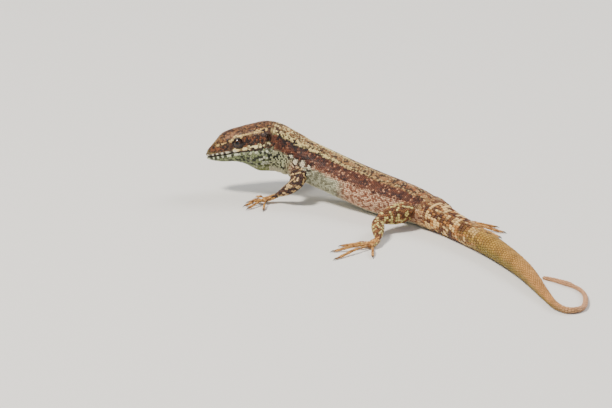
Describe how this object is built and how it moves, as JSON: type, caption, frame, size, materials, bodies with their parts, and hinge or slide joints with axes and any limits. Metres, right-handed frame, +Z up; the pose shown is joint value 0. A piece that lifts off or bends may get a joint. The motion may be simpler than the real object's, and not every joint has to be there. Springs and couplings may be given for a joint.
{
  "type": "common wall lizard, still life-size model",
  "caption": "Wall lizard at life size, belly and tail on the floor, chest and head raised, tail tip curled; parted into head, jaw, eyes, neck, trunk, hips, tail and limbs.",
  "frame": {"origin": "middle of the whole animal's bounding box in plan, on the floor it lies on", "axes": "-X towards the front of the trunk, +X towards the tail, -Y the animal's left side, +Z up"},
  "size_m": [0.1108, 0.0402, 0.0156],
  "materials": {
    "skin": "matt to satin dry scaly skin, brown with darker bands, speckles and pale flecks",
    "eye": "wet gloss, very dark iris with a thin golden ring"
  },
  "bodies": {
    "root": {"head": "skin", "lower_jaw": "skin", "eye_left": "eye", "eye_right": "eye", "neck": "skin", "trunk": "skin", "hips": "skin", "tail_1": "skin", "tail_2": "skin", "tail_3": "skin", "tail_4": "skin", "tail_5": "skin", "tail_6": "skin", "tail_7": "skin", "left_upper_arm": "skin", "left_forearm": "skin", "left_hand": "skin", "left_finger_1": "skin", "left_finger_2": "skin", "left_finger_3": "skin", "left_finger_4": "skin", "left_finger_5": "skin", "right_upper_arm": "skin", "right_forearm": "skin", "right_hand": "skin", "right_finger_1": "skin", "right_finger_2": "skin", "right_finger_3": "skin", "right_finger_4": "skin", "right_finger_5": "skin", "left_thigh": "skin", "left_shank": "skin", "left_foot": "skin", "left_toe_1": "skin", "left_toe_2": "skin", "left_toe_3": "skin", "left_toe_4": "skin", "left_toe_5": "skin", "right_thigh": "skin", "right_shank": "skin", "right_foot": "skin", "right_toe_1": "skin", "right_toe_2": "skin", "right_toe_3": "skin", "right_toe_4": "skin", "right_toe_5": "skin"}
  },
  "joints": []
}
